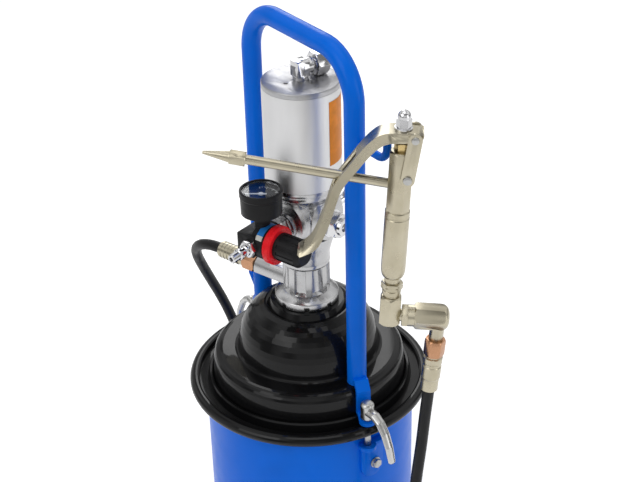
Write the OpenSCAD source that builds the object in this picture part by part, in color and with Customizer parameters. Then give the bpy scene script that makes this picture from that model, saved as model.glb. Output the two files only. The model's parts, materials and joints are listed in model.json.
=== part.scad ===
// Air-operated grease pump on a twelve litre drum, with its carrying bail, hose and grease gun.
// Millimetres. The origin is the floor centre of the drum, +Z is up, and the bail lies in the XZ plane.

/* [Drum] */
// Outer radius of the drum wall
drum_r = 122.5; // [122:0.1:123]
// Height of the lid's rim above the floor
rim_z = 300; // [285:1:330]
// Thickness of the drum's sheet
drum_wall = 1.5; // [1:0.1:3]
// Radius of the rolled bottom edge
foot_roll_r = 3; // [2:0.25:4]

/* [Lid] */
// Reach of the lid's rolled rim beyond the drum wall
rim_reach = 19; // [18:0.1:20]
// Thickness of the lid's sheet
lid_t = 1.6; // [1.2:0.1:2]
// Radius of the rolled rim's section
rim_roll = 6.5; // [6:0.1:7]
// Height of the step's ledge above the rim
ledge_h = 38.5; // [36:0.5:42]
// Height of the dome's flat top above the rim
dome_h = 102.9; // [95:0.1:110]
// Thickness of the gasket between lid and drum
gasket_t = 3; // [2:0.25:4]

/* [Bail and clamps] */
// Outer diameter of the bail's tube
bail_d = 22; // [20:0.5:24]
// Wall of the bail's tube
bail_wall = 2; // [1.5:0.25:3]
// Distance of each leg from the middle
bail_x = 96; // [94:0.5:98]
// Room between the cap elbow's nut and the bail's top bar
bail_room = 18.4; // [14:0.1:70]
// Radius of the bail's bends
bail_bend = 50; // [40:1:60]
// Diameter of the hook rods
hook_d = 8.6; // [7:0.1:9]
// Reach of the gun hook's upright from the middle
hook_x = 151; // [149:0.5:151.5]
// Height of the gun hook's lower run above the rim
hook_h = 338; // [330:1:342]
// Radius of the clamp studs
stud_r = 4; // [3.5:0.25:4.25]
// Radius of the clamp levers' bosses
boss_r = 7.75; // [7:0.25:8.5]

/* [Pump] */
// Turn of the pump about the vertical, from the bail
pump_yaw = 17; // [14:0.5:20]
// Outer radius of the air cylinder
cyl_r = 42.5; // [41.5:0.5:44]
// Wall of the air cylinder
cyl_wall = 4; // [3:0.25:5]
// Height of the air cylinder's tube
cyl_h = 111; // [105:1:120]
// Height of the pump's middle block
block_h = 94.8; // [92:0.1:100]
// Radius of the ribbed column
column_r = 22.5; // [21:0.25:24]
// Height of the ribbed column
column_h = 40.1; // [38:0.1:46]
// Radius of the notched ring nut
ring_nut_r = 36.5; // [35:0.1:39]
// Radius of the piston rod
rod_r = 6; // [5:0.25:6.5]
// Thickness of the air piston
piston_t = 18; // [12:1:22]
// Outer radius of the suction tube
suction_r = 17; // [16:0.25:18]
// Diameter of the transfer tube behind the cylinder
transfer_d = 10; // [8:0.5:11]

/* [Regulator] */
// Distance of the regulator's middle from the pump's axis
reg_y = 72; // [71:0.5:76]
// Radius of the regulator's body
reg_r = 20; // [18:0.5:21]
// Radius of the pressure knob
knob_r = 15.5; // [15:0.1:17]
// Length of the pressure knob
knob_l = 33; // [30:1:40]
// Outer radius of the gauge
gauge_r = 23.3; // [21:0.1:25]
// Height of the gauge's case
gauge_h = 30; // [26:0.5:32]
// Radius of the air plug's barrel
plug_r = 5; // [4.5:0.1:5.5]

/* [Hose and gun] */
// Outer diameter of the hose
hose_d = 13; // [12.8:0.1:13]
// Width of the gun's eight-sided body across its flats
gun_af = 23.4; // [22:0.1:24.5]
// Height of the gun's body
gun_body_h = 65.7; // [62:0.1:68]
// Length of the gun's handle below the gun's middle
handle_l = 72; // [66:1:78]
// Diameter of the gun's nozzle tube
nozzle_d = 9.8; // [8:0.1:10.5]
// Length of the nozzle from the gun's axis to its coupler
nozzle_l = 154; // [145:1:175]
// Width of the gun's lever across its flanges
lever_w = 24; // [23:0.25:24.5]
// Sheet of the gun's lever
lever_t = 2; // [1.5:0.1:2.2]

/* [Hidden] */
$fn = 64;
eps = 0.01;
// Gap between pieces of different bodies, and of a turning or sliding fit
gap = 0.3;
run_gap = 0.05;
steel = [0.72, 0.72, 0.70];
zinc = [0.73, 0.68, 0.58];
copper = [0.84, 0.64, 0.52];
blue = [0.0, 0.36, 0.85];
black = [0.07, 0.07, 0.08];
alu = [0.78, 0.78, 0.79];

// Lid section
lid_r = drum_r + rim_reach;
groove_z = rim_z - 2.5;
groove_in = drum_r - 1.9;
groove_out = lid_r - 11.8;
ridge_r = drum_r - 5;
ridge_z = rim_z + 8.6;
skirt_r = ridge_r - 5.7;
ledge_z = rim_z + ledge_h;
dome_z = rim_z + dome_h;
dome_foot_r = 82.5;
collar_r = 50;
collar_drop = 5.9;
rim_mid = [lid_r - rim_roll, rim_z - 2];
gasket_z = groove_z - lid_t;
drum_h = gasket_z - gasket_t;
hem_r = drum_r + 1.8;
hem_h = 5;

// Clamps
stud_x = drum_r + 6.5;
stud_y = -10;
shelf_z = rim_z - 31;
shelf_t = 5;
bracket_w = 30;
bracket_t = 3.5;
bracket_low = rim_z - 78;
bracket_bolt_z = rim_z - 60;
bracket_bolt_turn = 1.4;
strap_z = rim_mid[1] + rim_roll + gap;
strap_t = 4;
strap_w = 16;
eye_r = 9.5;
strap_turn = atan2(stud_y, stud_x - bail_x);
strap_l = norm([stud_x - bail_x, stud_y]);
strap_step = skirt_r + 8.7 - bail_x;
boss_seat_r = strap_l - strap_step - 5;
boss_low = strap_z + strap_t + gap;
boss_h = 24;
stud_top = boss_low + boss_h - 6;

// Pump heights
ring_nut_h = 14.6;
ring_wall_h = 9.4;
column_z = dome_z + ring_nut_h;
block_z = column_z + column_h;
base_z = block_z + block_h;
base_h = 5.2;
tube_z = base_z + base_h;
cap_z = tube_z + cyl_h;
cap_h = 6;
cap_top = cap_z + cap_h;
spigot_h = 8;
cyl_bore = cyl_r - cyl_wall;
chamber_mid = (tube_z + spigot_h + cap_z - spigot_h) / 2;
neck_r = 20;
neck_h = 17.9;
suction_top = dome_z - lid_t;
suction_low = 24;
suction_bore = suction_r - 2.5;
foot_low = drum_wall + 6;
plunger_z = 120;
plunger_h = 20;

// Valve, outlet and transfer tube
valve_z = rim_z + 212;
boss_axis_z = valve_z + 4;
valve_r = 31;
valve_end = 37;
valve_step_r = 18;
valve_step_end = 41;
spool_r = 9;
spool_l = 20;
spool_mid = valve_step_end - spool_l / 2 - 7;
plug_boss_end = 36;
back_boss_end = 38;
outlet_z = rim_z + 121;
outlet_boss_r = 14;
outlet_end = 68;
outlet_bore = 5;
outlet_web_end = 46;
elbow_axis_z = cap_top + 13;
elbow_nut_af = 24;
bail_h = elbow_axis_z + elbow_nut_af / 2 + bail_room + bail_d / 2 - rim_z;
elbow_end = 16;
transfer_r = transfer_d / 2;
transfer_bend = 16;
transfer_y = 62;
tube_nut_l = 15;

// Regulator
reg_z = valve_z;
reg_face = reg_y - reg_r;
nipple_af = 24;
bonnet_r = 12;
bonnet_end = 40;
ring_x = 15;
ring_l = 10;
knob_x = ring_x + ring_l + gap;
screw_r = 4;
gauge_neck_r = 8.5;
case_z = reg_z + reg_r + 12;
dial_r = gauge_r - 2.5;
plug_face = reg_y + reg_r;

// Hose fittings
outlet_nut_x = outlet_end + 4;
outlet_nut_l = 18;
ferrule_r = 10.2;
ferrule_x = outlet_end + 30;
ferrule_l = 31;
ferrule_stem_r = 7;

// Gun frame: x points away from the nozzle, y away from the front, z up along the handle
gun_place = [170.8, -2.4, rim_z + 287.6];
gun_yaw = 52;
gun_tilt = 3.4;
body_z = 6;
body_top = body_z + gun_body_h;
gland_h = 9;
handle_r = 12.7;
neck_z = -handle_l;
neck_in = 8.2;
swivel_nut_h = 7.8;
swivel_nut_z = neck_z - 15.4;
swivel_ring_h = 8.6;
swivel_z = neck_z - 58;
swivel_af = 21.5;
elbow_z = neck_z - 47.8;
elbow_stem_r = 6.5;
elbow_nut_x = swivel_af / 2 + 1.7;
elbow_nut_l = 6.3;
collar_l = 6.8;
elbow_r = 12.3;
barrel_l = 36.7;
elbow_x = elbow_nut_x + elbow_nut_l + collar_l + 25.5;
elbow_lean = 2;
stub_r = 7.6;
stub_l = 27;
gun_nut_l = 20;
gun_ferrule_l = 45;
pivot = [11.9, 89.2];
link_foot = [7.1, 45.6];
link_t = 2.5;
link_in = max(lever_w, gun_af) / 2 + gap;
pin_r = 2.5;
bolt_in = 6.5;
spigot_r = 6;
stem_r = 4;
stem_low = 24;
screw_hole_r = 3;
web_top = 94.4;
nozzle_rise = 6.9;
nozzle_z = 33;
// Top line of the lever's side with the flange's depth, from its rear end to the spoon
lever_line = [[20, 93.2, 9.6], [14, web_top, 10], [4, web_top, 10], [-11, web_top, 11], [-17, 93.6, 11.4],
              [-23.5, 91, 11.4], [-29.1, 86.6, 11], [-35.6, 79.3, 10.5], [-42.1, 70.4, 10.2],
              [-49.4, 58.8, 9.8],
              [-57, 47, 9.4], [-65, 33, 9.2], [-69.8, 16, 9], [-75, -6.4, 8.8], [-82.4, -28.2, 8.6],
              [-88.2, -38.2, 7.5], [-98.3, -47.3, 4]];
lever_slot = [[-44, 66], [-68.5, 27]];
slot_w = nozzle_d + 4;

// Route of the hose from the pump's outlet to the coil
hose_left_route = [[-131, -40.05, 421], [-140.5, -42.6, 419.9], [-150.5, -44.4, 416.9],
                   [-160.5, -45, 412.2],
                   [-170, -44.3, 405.7], [-179, -42, 397.3], [-187.2, -38.2, 387], [-194.5, -32.6, 374.5],
                   [-201.2, -25, 359], [-206.8, -15.5, 340], [-210.6, -5, 318], [-212.3, 5.5, 295],
                   [-211.5, 15, 270], [-208, 22, 244], [-203, 26, 216], [-198, 28, 185], [-193, 29, 155],
                   [-189, 30, 124], [-185, 31, 93], [-181, 32.5, 68], [-176.5, 36, 46.5], [-170, 43, 29],
                   [-162, 53.5, 16.5], [-153.5, 65.5, 9.2], [-145, 78, 6.7], [-137, 91, 6.7],
                   [-128, 103, 6.7]];
// Route of the hose from the coil to the gun
hose_right_route = [[-128, 103, 45.5], [-114, 124, 45], [-101, 142, 40], [-86, 159, 29], [-67, 171, 17],
                    [-45, 177, 9], [-21, 178, 6.7], [6, 175, 6.7], [36, 168, 6.7], [66, 156, 6.7],
                    [96, 138, 6.7], [123, 115, 6.7], [146, 86, 6.7], [165, 54, 9], [177, 27, 24],
                    [184, 11, 52], [187, 5, 88], [187, 4.5, 135], [187, 8.5, 190], [187.2, 14.5, 250],
                    [188.4, 19.6, 295], [190.3, 22.55, 336]];
coil_place = [-193, 146];
coil_in = 58.5;
coil_out = coil_in + 2 * hose_d;
coil_h = 4 * hose_d;

// Outline helpers
function unit(v) = v / norm(v);
function side_of(a, b) = let (d = unit(b - a)) [-d[1], d[0]];
function corner(m) = 2 * m / (m * m);
function normal_at(p, i) =
    let (n = len(p) - 1)
    i == 0 ? side_of(p[0], p[1])
    : i == n ? side_of(p[n - 1], p[n])
    : corner(side_of(p[i - 1], p[i]) + side_of(p[i], p[i + 1]));
function moved(p, d) = [for (i = [0:len(p) - 1]) p[i] + d * normal_at(p, i)];
function reversed(p) = [for (i = [len(p) - 1:-1:0]) p[i]];
function flat(p) = [for (q = p) [q[0], q[1]]];
function flange(p, top, extra) =
    let (q = flat(p), last = len(p) - 1)
    concat([for (i = [0:last]) q[i] + top * normal_at(q, i)],
           [for (i = [last:-1:0]) q[i] + (p[i][2] + extra) * normal_at(q, i)]);
function sheet(p, t) = concat(p, reversed(moved(p, t)));
function arc(mid, r, a0, a1, steps) =
    [for (i = [0:steps]) let (a = a0 + (a1 - a0) * i / steps) mid + r * [cos(a), sin(a)]];
function bend(a, b, c, steps) =
    [for (i = [0:steps]) let (t = i / steps) (1 - t) ^ 2 * a + 2 * t * (1 - t) * b + t ^ 2 * c];
function between(a, b, c, d, t) =
    0.5 * (2 * b + (c - a) * t + (2 * a - 5 * b + 4 * c - d) * t ^ 2 + (3 * b - a - 3 * c + d) * t ^ 3);
function smooth(p, n) =
    concat([for (i = [0:len(p) - 2]) for (k = [0:n - 1])
            between(p[max(i - 1, 0)], p[i], p[i + 1], p[min(i + 2, len(p) - 1)], k / n)],
           [p[len(p) - 1]]);
function hex_r(across) = across / 2 / cos(30);

// Frames
module in_pump() {
    rotate([0, 0, pump_yaw]) children();
}
module in_regulator() {
    in_pump() translate([0, -reg_y, reg_z]) children();
}
module in_gun() {
    translate(gun_place) rotate([0, 0, gun_yaw]) rotate([0, gun_tilt, 0]) children();
}
module in_gun_elbow() {
    in_gun() translate([elbow_x, 0, elbow_z]) rotate([0, elbow_lean, 0]) children();
}
module in_nozzle() {
    in_gun() translate([0, 0, nozzle_z]) rotate([0, nozzle_rise - 90, 0]) children();
}
module on_clamp(side) {
    rotate([0, 0, side * 180]) translate([stud_x, stud_y, 0]) children();
}
module towards_front(z = 0) {
    translate([0, 0, z]) rotate([90, 0, 0]) children();
}
module towards_back(z = 0) {
    translate([0, 0, z]) rotate([-90, 0, 0]) children();
}
module towards_left(z = 0) {
    translate([0, 0, z]) rotate([0, -90, 0]) children();
}
module towards_right(z = 0) {
    translate([0, 0, z]) rotate([0, 90, 0]) children();
}
module pipe(r, bore, h) {
    difference() {
        cylinder(r = r, h = h);
        translate([0, 0, -1]) cylinder(r = bore, h = h + 2);
    }
}
module hex(across, h) {
    cylinder(r = hex_r(across), h = h, $fn = 6);
}
// Six-sided nut with its corners turned off at both ends
module nut(across, h, bore) {
    difference() {
        intersection() {
            hex(across, h);
            rotate_extrude() polygon([[0, 0], [across / 2 * 1.02, 0], [hex_r(across) + 0.1, h * 0.12],
                                      [hex_r(across) + 0.1, h * 0.88], [across / 2 * 1.02, h], [0, h]]);
        }
        translate([0, 0, -1]) cylinder(r = bore, h = h + 2);
    }
}

// Tube swept through a list of points
function tangent(p, i) = unit(p[min(i + 1, len(p) - 1)] - p[max(i - 1, 0)]);
function carried(t, i, n) =
    i >= len(t) ? [] : let (m = unit(n - (n * t[i]) * t[i])) concat([m], carried(t, i + 1, m));
module hose(route, r, sides = 10) {
    t = [for (i = [0:len(route) - 1]) tangent(route, i)];
    n = carried(t, 0, [0.1, 1, 0.3]);
    last = len(route) - 1;
    points = [for (i = [0:last]) for (j = [0:sides - 1])
              let (a = 360 * j / sides) route[i] + r * (cos(a) * n[i] + sin(a) * cross(t[i], n[i]))];
    walls = [for (i = [0:last - 1]) for (j = [0:sides - 1])
             let (k = (j + 1) % sides, a = i * sides, b = a + sides)
             each [[a + j, b + j, b + k], [a + j, b + k, a + k]]];
    ends = [[for (j = [0:sides - 1]) j], [for (j = [sides - 1:-1:0]) last * sides + j]];
    polyhedron(points, concat(walls, ends));
}

// Drum, lid, bail and clamps
module bolt_line() {
    for (side = [0, 1])
        rotate([0, 0, side * 180 + bracket_bolt_turn]) translate([0, 0, bracket_bolt_z])
            rotate([0, 90, 0]) children();
}
module drum() {
    color(blue) difference() {
        union() {
            pipe(drum_r, drum_r - drum_wall, drum_h - eps, $fn = 128);
            translate([0, 0, drum_h - hem_h]) pipe(hem_r, drum_r - drum_wall, hem_h, $fn = 128);
            cylinder(r = drum_r - drum_wall / 2, h = drum_wall, $fn = 128);
            rotate_extrude($fn = 128)
                polygon(concat([[drum_r - drum_wall, 0]],
                               arc([drum_r, foot_roll_r], foot_roll_r, -90, 90, 8),
                               [[drum_r - drum_wall, 2 * foot_roll_r]]));
        }
        bolt_line() translate([0, 0, drum_r - 8]) cylinder(r = 3.2, h = 16);
    }
}
module bracket() {
    difference() {
        union() {
            intersection() {
                translate([0, 0, bracket_low])
                    pipe(drum_r + bracket_t, drum_r, shelf_z + shelf_t - bracket_low, $fn = 128);
                translate([drum_r, 0, bracket_low + bracket_w / 2]) union() {
                    rotate([0, 90, 0]) cylinder(d = bracket_w, h = 40, center = true);
                    translate([-20, -bracket_w / 2, 0]) cube([40, bracket_w, 100]);
                }
            }
            difference() {
                translate([0, 0, shelf_z]) linear_extrude(shelf_t) {
                    translate([stud_x, stud_y]) circle(10);
                    translate([drum_r - 20, -bracket_w / 2]) square([stud_x + 3 - drum_r + 20, bracket_w]);
                }
                translate([0, 0, shelf_z - 1]) cylinder(r = drum_r, h = shelf_t + 2, $fn = 128);
            }
        }
        translate([stud_x, stud_y, shelf_z - 1]) cylinder(r = stud_r + gap, h = shelf_t + 2);
        rotate([0, 0, bracket_bolt_turn]) translate([drum_r - 8, 0, bracket_bolt_z]) rotate([0, 90, 0])
            cylinder(r = 3.2, h = 16);
    }
}
module clamp_brackets() {
    color(blue) for (side = [0, 1]) rotate([0, 0, side * 180]) bracket();
}
module bracket_bolts() {
    head_z = drum_r + bracket_t + 0.2;
    color(steel) bolt_line() {
        translate([0, 0, drum_r - drum_wall + 0.3]) cylinder(r = 3, h = head_z - drum_r + drum_wall);
        translate([0, 0, head_z]) cylinder(r = 6.6, h = 1.2);
        translate([0, 0, head_z + 1]) hex(10, 4.2);
    }
}
module clamp_studs() {
    color(steel) for (side = [0, 1]) on_clamp(side)
        translate([0, 0, shelf_z]) cylinder(r = stud_r, h = stud_top - shelf_z);
}
lid_line = concat(arc(rim_mid, rim_roll, -90, 130, 11),
                  [[groove_out, groove_z], [groove_in, groove_z], [groove_in - 2, ridge_z - 2],
                   [ridge_r, ridge_z], [ridge_r - 2.4, ridge_z - 0.6], [skirt_r + 1.2, ridge_z - 2.4]],
                  bend([skirt_r, ledge_z - 12], [skirt_r - 0.6, ledge_z], [skirt_r - 11, ledge_z], 6),
                  bend([dome_foot_r + 4, ledge_z], [dome_foot_r, ledge_z],
                       [dome_foot_r - 0.4, ledge_z + 5], 4),
                  bend([dome_foot_r - 0.6, ledge_z + 7], [dome_foot_r - 4, dome_z - 17],
                       [collar_r, dome_z - collar_drop], 10),
                  [[collar_r - 2, dome_z - collar_drop], [collar_r - 5, dome_z - collar_drop - 1.6],
                   [collar_r - 8, dome_z], [neck_r + gap, dome_z]]);
module lid() {
    color(black) difference() {
        rotate_extrude($fn = 128) polygon(sheet(lid_line, lid_t));
        for (side = [0, 1]) on_clamp(side) translate([0, 0, rim_z - 20]) cylinder(r = stud_r + 0.6, h = 40);
    }
}
module lid_gasket() {
    color(black) translate([0, 0, gasket_z - gasket_t])
        pipe(hem_r - 0.2, drum_r - drum_wall, gasket_t, $fn = 128);
}
module bail_frame(r) {
    leg = bail_h - ledge_h - bail_bend;
    for (side = [-1, 1]) {
        translate([side * bail_x, 0, ledge_z - (r < bail_d / 2 ? 1 : 0)])
            cylinder(r = r, h = leg + (r < bail_d / 2 ? 1 : 0));
        translate([side * (bail_x - bail_bend), 0, rim_z + bail_h - bail_bend]) rotate([90, 0, 0])
            rotate([0, 0, side > 0 ? 0 : 90]) rotate_extrude(angle = 90) translate([bail_bend, 0])
                circle(r);
    }
    translate([bail_bend - bail_x, 0, rim_z + bail_h]) rotate([0, 90, 0])
        cylinder(r = r, h = 2 * (bail_x - bail_bend));
}
module strap() {
    tail = bail_d / 2 - 4;
    low = strap_z - rim_z;
    rise = ledge_h + 6.5;
    over = ridge_z - rim_z + 0.6;
    drop = skirt_r + 3.4 - bail_x;
    step = strap_step;
    side = [[tail, rise], [drop - 6, rise], [drop, rise - 8], [drop, over], [step, over], [step + 3.5, low],
            [strap_l, low], [strap_l, low + strap_t], [step + 5, low + strap_t], [step + 1, over + strap_t],
            [drop + strap_t, over + strap_t], [drop + strap_t, rise - 6.5], [drop - 4.2, rise + strap_t],
            [tail, rise + strap_t]];
    translate([bail_x, 0, rim_z]) rotate([0, 0, strap_turn]) difference() {
        union() {
            translate([0, strap_w / 2, 0]) rotate([90, 0, 0]) linear_extrude(strap_w) polygon(side);
            translate([strap_l, 0, low]) cylinder(r = eye_r, h = strap_t);
        }
        translate([strap_l, 0, low - 1]) cylinder(r = stud_r + gap, h = strap_t + 2);
    }
}
module gun_hook() {
    turn = 14;
    upright = 10;
    inner = bail_x + bail_d / 2 - bail_wall / 2;
    translate([0, 0, rim_z + hook_h]) {
        translate([inner, 0, 0]) rotate([0, 90, 0]) cylinder(d = hook_d, h = hook_x - turn - inner);
        translate([hook_x - turn, 0, turn]) rotate([90, 0, 0]) rotate([0, 0, -90])
            rotate_extrude(angle = 90) translate([turn, 0]) circle(d = hook_d, $fn = 32);
        translate([hook_x, 0, turn]) cylinder(d = hook_d, h = upright);
        translate([hook_x, 0, turn + upright]) sphere(d = hook_d);
    }
}
module hose_hook() {
    lean = 38;
    translate([-bail_x - bail_d / 2 + bail_wall / 2, 0, rim_z + 60]) rotate([0, -lean, 0]) {
        cylinder(d = hook_d, h = 22);
        translate([0, 0, 22]) sphere(d = hook_d);
    }
}
module bail() {
    color(blue) difference() {
        union() {
            bail_frame(bail_d / 2);
            for (side = [0, 180]) rotate([0, 0, side]) strap();
            gun_hook();
            hose_hook();
        }
        bail_frame(bail_d / 2 - bail_wall);
    }
}
module clamp_lever() {
    arm = [[4, 12, 4.4], [14, 12.5, 4.1], [24, 8, 3.8], [33, -1.5, 3.6], [40, -15, 3.4], [45, -31, 3]];
    top = boss_low + boss_h;
    difference() {
        union() {
            rotate_extrude() polygon(concat([[0, boss_low], [boss_seat_r, boss_low],
                                             [boss_r, boss_low + 1.25 * (boss_r - boss_seat_r)]],
                                            bend([boss_r, top - 4.5], [boss_r - 0.5, top], [0, top], 5)));
            for (i = [0:len(arm) - 2]) hull() for (p = [arm[i], arm[i + 1]])
                translate([p[0], 0, boss_low + p[1]]) scale([1, 1.5, 1]) sphere(p[2], $fn = 20);
        }
        translate([0, 0, boss_low - 1]) cylinder(r = stud_r + run_gap, h = stud_top - boss_low + 1 + gap);
    }
}
module clamp_lever_right() {
    color(steel) on_clamp(0) clamp_lever();
}
module clamp_lever_left() {
    color(steel) on_clamp(1) clamp_lever();
}

// Grease side inside the drum
follower_drop = 48;
follower_z = rim_z - follower_drop;
hub_r = suction_r + 12;
hub_h = 12;
seal_t = 2.7;
module follower_plate() {
    r = drum_r - drum_wall - gap - seal_t;
    color(steel) rotate_extrude($fn = 96)
        polygon([[suction_r + gap, follower_z - hub_h / 2], [hub_r + 1, follower_z - hub_h / 2],
                 [hub_r + 7, follower_z], [r, follower_z], [r, follower_z + 3], [hub_r + 5, follower_z + 3],
                 [hub_r, follower_z + hub_h], [suction_r + gap, follower_z + hub_h]]);
}
module follower_seal() {
    r = drum_r - drum_wall - gap;
    color(black) rotate_extrude($fn = 96)
        polygon([[r - seal_t, follower_z - 4], [r, follower_z - 9], [r, follower_z + 10],
                 [r - seal_t, follower_z + 7]]);
}
module suction_tube() {
    collar_low = dome_z - neck_h - 5;
    color(steel) rotate_extrude()
        polygon([[suction_bore, suction_low], [suction_r, suction_low], [suction_r, collar_low],
                 [neck_r + 4, collar_low], [neck_r + 4, suction_top - 4], [neck_r + 11, suction_top - 4],
                 [neck_r + 11, suction_top], [neck_r + run_gap, suction_top],
                 [neck_r + run_gap, dome_z - neck_h], [suction_bore, dome_z - neck_h]]);
}
module foot_valve() {
    slots = 6;
    color(steel) difference() {
        rotate_extrude() polygon([[0, foot_low], [suction_r - 3, foot_low], [suction_r, foot_low + 3],
                                  [suction_r, suction_low], [6, suction_low], [6, foot_low + 5],
                                  [0, foot_low + 5]]);
        for (i = [0:slots - 1]) rotate([0, 0, i * 360 / slots])
            translate([8, -2.5, foot_low + 6]) cube([20, 5, 6]);
    }
}

// Pump
module ring_nut() {
    notches = 8;
    color(alu) difference() {
        rotate_extrude() polygon([[neck_r + run_gap, dome_z], [ring_nut_r - 1, dome_z],
                                  [ring_nut_r, dome_z + 1],
                                  [ring_nut_r, dome_z + ring_wall_h - 0.8],
                                  [ring_nut_r - 0.8, dome_z + ring_wall_h],
                                  [column_r + 4.6, column_z], [neck_r + run_gap, column_z]]);
        for (i = [0:notches - 1]) rotate([0, 0, i * 360 / notches + 10])
            translate([ring_nut_r - 2.2, -3, dome_z - 1]) cube([8, 6, ring_wall_h / 2 + 1]);
    }
}
module pump_column() {
    ribs = 8;
    top = block_z;
    color(alu) difference() {
        union() {
            translate([0, 0, dome_z - neck_h]) cylinder(r = neck_r, h = neck_h + ring_nut_h + eps);
            rotate_extrude() polygon([[0, column_z], [column_r + 4, column_z], [column_r, column_z + 3],
                                      [column_r, top - 9], [column_r + 5, top - 4], [column_r + 5, top],
                                      [0, top]]);
            in_pump() for (i = [0:ribs - 1]) rotate([0, 0, i * 360 / ribs])
                translate([column_r - 3, -3.5, column_z]) cube([7, 7, column_h - 6]);
            in_pump() intersection() {
                towards_left(outlet_z) cylinder(r = outlet_boss_r, h = outlet_end);
                translate([-100, -50, column_z]) cube([100, 100, 60]);
            }
            in_pump() translate([-outlet_web_end, -outlet_boss_r + 4, column_z])
                cube([outlet_web_end - 16, 2 * outlet_boss_r - 8, outlet_z + outlet_boss_r - column_z]);
        }
        translate([0, 0, dome_z - 40]) cylinder(r = suction_bore - 2, h = top - dome_z + 30);
        translate([0, 0, top - 20]) cylinder(r = rod_r + run_gap, h = 40);
        in_pump() towards_left(outlet_z) translate([0, 0, 8]) cylinder(r = outlet_bore, h = outlet_end);
    }
}
module round_boss(r, h) {
    edge = 4;
    rotate_extrude() polygon([[0, 0], [r, 0], [r, h - edge], [r - edge, h], [0, h]]);
}
module valve_block() {
    low = block_z;
    color(alu) in_pump() difference() {
        union() {
            rotate_extrude() polygon([[0, low], [column_r + 5, low], [column_r + 5, low + 8],
                                      [column_r + 9, low + 24],
                                      [column_r + 9, base_z - 24], [cyl_r - 5, base_z - 10],
                                      [cyl_r - 2, base_z - 6],
                                      [cyl_r - 2, base_z], [0, base_z]]);
            towards_front(boss_axis_z) round_boss(valve_r, valve_end);
            towards_front(valve_z) cylinder(r = valve_step_r, h = valve_step_end);
            towards_right(boss_axis_z) round_boss(valve_r - 3, plug_boss_end);
            towards_left(boss_axis_z) round_boss(valve_r - 3, plug_boss_end);
            rotate([0, 0, -pump_yaw]) towards_back(valve_z) cylinder(r = 13, h = back_boss_end);
        }
        translate([0, 0, low - 1]) cylinder(r = rod_r + 0.5, h = block_h + 2);
        towards_front(valve_z) translate([0, 0, spool_mid - spool_l / 2 - 4.5])
            cylinder(r = spool_r + run_gap, h = valve_step_end);
        rotate([0, 0, -pump_yaw]) towards_back(valve_z) translate([0, 0, 10])
            cylinder(r = transfer_r - 1.5, h = back_boss_end);
        towards_right(valve_z) translate([0, 0, 14]) cylinder(r = 8, h = plug_boss_end);
    }
}
module valve_spool() {
    a = spool_mid - spool_l / 2;
    waist = spool_r - 3;
    color(steel) in_pump() towards_front(valve_z) rotate_extrude()
        polygon([[0, a], [spool_r, a], [spool_r, a + 4], [waist, a + 5], [waist, a + 7], [spool_r, a + 8],
                 [spool_r, a + 12], [waist, a + 13], [waist, a + 15], [spool_r, a + 16],
                 [spool_r, a + spool_l], [0, a + spool_l]]);
}
module side_plug() {
    color(steel) in_pump() towards_right(valve_z) {
        translate([0, 0, 20]) cylinder(r = 8 - run_gap, h = plug_boss_end - 20 + eps);
        translate([0, 0, plug_boss_end]) cylinder(r = 16, h = 3);
        translate([0, 0, plug_boss_end + 3 - eps]) nut(27, 13, 3);
        translate([0, 0, plug_boss_end + 16 - eps]) pipe(10, 5, 4);
    }
}
module cylinder_base() {
    color(alu) difference() {
        union() {
            translate([0, 0, base_z]) cylinder(r = cyl_r, h = base_h);
            translate([0, 0, tube_z - eps]) cylinder(r = cyl_bore - run_gap, h = spigot_h);
        }
        translate([0, 0, base_z - 1]) cylinder(r = rod_r + run_gap, h = base_h + spigot_h + 2);
    }
}
module air_cylinder() {
    color(alu) translate([0, 0, tube_z]) pipe(cyl_r, cyl_bore, cyl_h, $fn = 96);
}
module cylinder_cap() {
    color(steel) difference() {
        union() {
            rotate_extrude() polygon([[0, cap_z], [cyl_r, cap_z], [cyl_r, cap_top - 0.8],
                                      [cyl_r - 0.8, cap_top],
                                      [0, cap_top]]);
            translate([0, 0, cap_z - spigot_h]) cylinder(r = cyl_bore - run_gap, h = spigot_h + eps);
        }
        translate([0, 0, cap_z - 20]) cylinder(r = 4, h = 60);
        translate([0.9, -19.6, cap_top - 4]) cylinder(r = 2.2, h = 10);
    }
}
module cap_elbow() {
    body = 15;
    color(steel) difference() {
        union() {
            translate([0, 0, cap_top]) cylinder(r = 8.5, h = 5);
            translate([-body / 2, -body / 2, cap_top + 4]) cube([body, body, elbow_axis_z - cap_top + 4]);
            towards_back(elbow_axis_z) cylinder(r = 8.6, h = elbow_end - 3);
            towards_back(elbow_axis_z) cylinder(r = 6, h = elbow_end);
        }
        translate([0, 0, cap_top - 1]) cylinder(r = 3, h = elbow_axis_z - cap_top + 1);
        towards_back(elbow_axis_z) cylinder(r = 3, h = elbow_end + 1);
    }
}
module tube_nuts() {
    color(steel) {
        towards_back(elbow_axis_z) translate([0, 0, elbow_end])
            nut(elbow_nut_af, tube_nut_l, transfer_r + run_gap);
        towards_back(valve_z) translate([0, 0, back_boss_end])
            nut(19, tube_nut_l - 8, transfer_r + run_gap);
    }
}
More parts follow.
